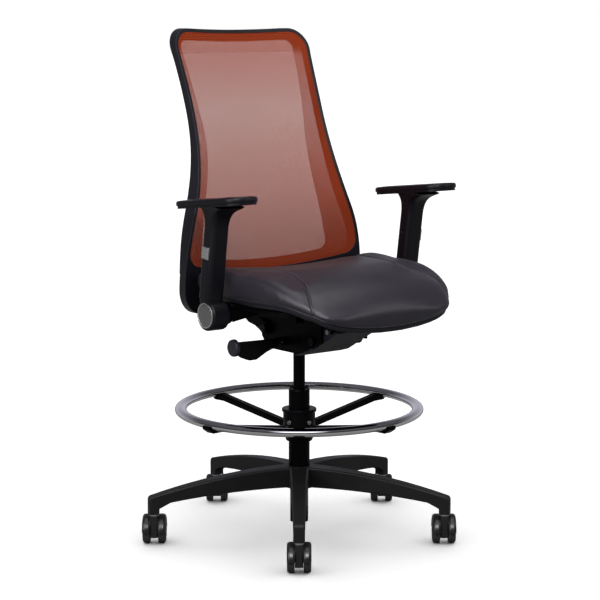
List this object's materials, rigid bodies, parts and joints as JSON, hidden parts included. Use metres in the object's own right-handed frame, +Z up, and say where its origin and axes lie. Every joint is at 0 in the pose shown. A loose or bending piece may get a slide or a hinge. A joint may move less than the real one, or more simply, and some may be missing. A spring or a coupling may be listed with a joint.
{
  "type": "drafting chair",
  "caption": "Tall swivel drafting chair: star base on twin-wheel casters, chrome foot ring, padded leather seat, copper mesh back and height-adjustable arms.",
  "frame": {"origin": "on the floor under the axis of the column", "axes": "+Z up along the column, the sitter faces -Y and the sitter's left is +X"},
  "size_m": [0.762, 0.7551, 1.1932],
  "materials": {
    "base_nylon": "fine-grained moulded nylon",
    "caster_nylon": "smooth moulding",
    "tread": "smooth nylon",
    "column_black": "satin black powder coat",
    "hub_plastic": "satin moulding",
    "cover_grey": "satin charcoal moulding",
    "steel": "zinc plated",
    "spring_steel": "black oxide",
    "ring_chrome": "polished",
    "frame_plastic": "fine satin grain",
    "arm_plastic": "satin",
    "cap_grey": "satin grey",
    "button_silver": "satin",
    "pad_soft": "soft satin polyurethane",
    "lever_plastic": "satin",
    "seat_leather": "smooth charcoal",
    "copper_mesh": "open copper-coloured weave"
  },
  "bodies": {
    "base": {"star_base": "base_nylon", "caster_stems": "steel", "column_tube": "column_black", "column_bushing": "hub_plastic", "column_end_plate": "steel"},
    "swivel": {"piston_rod": "steel", "thrust_bearing": "steel"},
    "mechanism": {"pressure_tube": "column_black", "tilt_housing": "column_black", "housing_cover": "cover_grey", "cover_screws": "steel", "front_pivot_pin": "spring_steel", "rear_pivot_pin": "spring_steel", "spring_cartridge": "spring_steel", "lever_pin": "steel"},
    "lever": {"height_paddle": "lever_plastic", "height_knob": "cap_grey"},
    "back": {"back_frame": "frame_plastic", "back_mesh": "copper_mesh", "mesh_band": "copper_mesh", "back_carrier": "column_black", "back_bolts": "steel"},
    "seat": {"seat_carrier": "column_black", "seat_pan": "hub_plastic", "seat_cushion": "seat_leather", "seat_screws": "steel", "arm_bracket_right": "column_black", "arm_bracket_left": "column_black", "arm_pivot_bolts": "steel"},
    "foot_rest": {"foot_ring": "ring_chrome", "ring_hub": "hub_plastic", "ring_spokes": "column_black", "ring_screws": "steel"},
    "arm_right": {"arm_post_right": "arm_plastic", "arm_hub_cap_right": "cap_grey"},
    "sleeve_right": {"arm_sleeve_right": "arm_plastic", "arm_pad_plate_right": "arm_plastic", "arm_pad_right": "pad_soft"},
    "button_right": {"arm_button_right": "button_silver"},
    "arm_left": {"arm_post_left": "arm_plastic", "arm_hub_cap_left": "cap_grey"},
    "sleeve_left": {"arm_sleeve_left": "arm_plastic", "arm_pad_plate_left": "arm_plastic", "arm_pad_left": "pad_soft"},
    "button_left": {"arm_button_left": "button_silver"},
    "caster_1": {"caster_hood_1": "caster_nylon"},
    "wheel_1_a": {"caster_wheel_1_a": "tread"},
    "wheel_1_b": {"caster_wheel_1_b": "tread"},
    "caster_2": {"caster_hood_2": "caster_nylon"},
    "wheel_2_a": {"caster_wheel_2_a": "tread"},
    "wheel_2_b": {"caster_wheel_2_b": "tread"},
    "caster_3": {"caster_hood_3": "caster_nylon"},
    "wheel_3_a": {"caster_wheel_3_a": "tread"},
    "wheel_3_b": {"caster_wheel_3_b": "tread"},
    "caster_4": {"caster_hood_4": "caster_nylon"},
    "wheel_4_a": {"caster_wheel_4_a": "tread"},
    "wheel_4_b": {"caster_wheel_4_b": "tread"},
    "caster_5": {"caster_hood_5": "caster_nylon"},
    "wheel_5_a": {"caster_wheel_5_a": "tread"},
    "wheel_5_b": {"caster_wheel_5_b": "tread"}
  },
  "joints": [
    {"name": "seat_swivel", "type": "hinge", "parent": "base", "child": "swivel", "pos_m": [0, 0, 0.1], "axis": [0, 0, 1], "continuous": true},
    {"name": "seat_lift", "type": "slide", "parent": "swivel", "child": "mechanism", "axis": [0, 0, 1], "range_m": [-0.06, 0.16]},
    {"name": "height_lever", "type": "hinge", "parent": "mechanism", "child": "lever", "pos_m": [-0.072, -0.017, 0.472], "axis": [0, 1, 0], "range_deg": [0, 10], "stiffness_Nm_per_rad": 1.5, "springref_deg": -5.73},
    {"name": "back_recline", "type": "hinge", "parent": "mechanism", "child": "back", "pos_m": [0, 0.048, 0.495], "axis": [-1, 0, 0], "range_deg": [0, 18], "stiffness_Nm_per_rad": 70, "springref_deg": -17.19},
    {"name": "seat_tilt", "type": "hinge", "parent": "mechanism", "child": "seat", "pos_m": [0, -0.136, 0.486], "axis": [-1, 0, 0], "range_deg": [0, 8.1]},
    {"name": "foot_ring_height", "type": "slide", "parent": "base", "child": "foot_rest", "axis": [0, 0, 1], "range_m": [-0.05, 0.042]},
    {"name": "arm_swing_right", "type": "hinge", "parent": "seat", "child": "arm_right", "pos_m": [-0.2775, -0.043, 0.557], "axis": [-1, 0, 0], "range_deg": [0, 30]},
    {"name": "arm_height_right", "type": "slide", "parent": "arm_right", "child": "sleeve_right", "axis": [0, -0.1409, 0.99], "range_m": [0, 0.08]},
    {"name": "arm_button_press_right", "type": "slide", "parent": "sleeve_right", "child": "button_right", "axis": [1, 0, 0], "range_m": [0, 0.003], "stiffness_N_per_m": 500, "springref_m": -0.001},
    {"name": "arm_swing_left", "type": "hinge", "parent": "seat", "child": "arm_left", "pos_m": [0.2775, -0.043, 0.557], "axis": [-1, 0, 0], "range_deg": [0, 30]},
    {"name": "arm_height_left", "type": "slide", "parent": "arm_left", "child": "sleeve_left", "axis": [0, -0.1409, 0.99], "range_m": [0, 0.08]},
    {"name": "arm_button_press_left", "type": "slide", "parent": "sleeve_left", "child": "button_left", "axis": [-1, 0, 0], "range_m": [0, 0.003], "stiffness_N_per_m": 500, "springref_m": -0.001},
    {"name": "caster_swivel_1", "type": "hinge", "parent": "base", "child": "caster_1", "pos_m": [-0.21918, -0.28053, 0.06], "axis": [0, 0, 1], "continuous": true},
    {"name": "wheel_roll_1_a", "type": "hinge", "parent": "caster_1", "child": "wheel_1_a", "pos_m": [-0.20933, -0.26792, 0.03], "axis": [0.788, -0.6157, 0], "continuous": true},
    {"name": "wheel_roll_1_b", "type": "hinge", "parent": "caster_1", "child": "wheel_1_b", "pos_m": [-0.20933, -0.26792, 0.03], "axis": [0.788, -0.6157, 0], "continuous": true},
    {"name": "caster_swivel_2", "type": "hinge", "parent": "base", "child": "caster_2", "pos_m": [0.19907, -0.29514, 0.06], "axis": [0, 0, 1], "continuous": true},
    {"name": "wheel_roll_2_a", "type": "hinge", "parent": "caster_2", "child": "wheel_2_a", "pos_m": [0.20892, -0.28253, 0.03], "axis": [0.788, -0.6157, 0], "continuous": true},
    {"name": "wheel_roll_2_b", "type": "hinge", "parent": "caster_2", "child": "wheel_2_b", "pos_m": [0.20892, -0.28253, 0.03], "axis": [0.788, -0.6157, 0], "continuous": true},
    {"name": "caster_swivel_3", "type": "hinge", "parent": "base", "child": "caster_3", "pos_m": [0.34221, 0.09813, 0.06], "axis": [0, 0, 1], "continuous": true},
    {"name": "wheel_roll_3_a", "type": "hinge", "parent": "caster_3", "child": "wheel_3_a", "pos_m": [0.35206, 0.11074, 0.03], "axis": [0.788, -0.6157, 0], "continuous": true},
    {"name": "wheel_roll_3_b", "type": "hinge", "parent": "caster_3", "child": "wheel_3_b", "pos_m": [0.35206, 0.11074, 0.03], "axis": [0.788, -0.6157, 0], "continuous": true},
    {"name": "caster_swivel_4", "type": "hinge", "parent": "base", "child": "caster_4", "pos_m": [0.01242, 0.35578, 0.06], "axis": [0, 0, 1], "continuous": true},
    {"name": "wheel_roll_4_a", "type": "hinge", "parent": "caster_4", "child": "wheel_4_a", "pos_m": [0.02227, 0.36839, 0.03], "axis": [0.788, -0.6157, 0], "continuous": true},
    {"name": "wheel_roll_4_b", "type": "hinge", "parent": "caster_4", "child": "wheel_4_b", "pos_m": [0.02227, 0.36839, 0.03], "axis": [0.788, -0.6157, 0], "continuous": true},
    {"name": "caster_swivel_5", "type": "hinge", "parent": "base", "child": "caster_5", "pos_m": [-0.33453, 0.12176, 0.06], "axis": [0, 0, 1], "continuous": true},
    {"name": "wheel_roll_5_a", "type": "hinge", "parent": "caster_5", "child": "wheel_5_a", "pos_m": [-0.32468, 0.13437, 0.03], "axis": [0.788, -0.6157, 0], "continuous": true},
    {"name": "wheel_roll_5_b", "type": "hinge", "parent": "caster_5", "child": "wheel_5_b", "pos_m": [-0.32468, 0.13437, 0.03], "axis": [0.788, -0.6157, 0], "continuous": true}
  ],
  "couplings": [
    {"joint": "seat_tilt", "follows": "back_recline", "ratio": 0.45}
  ]
}
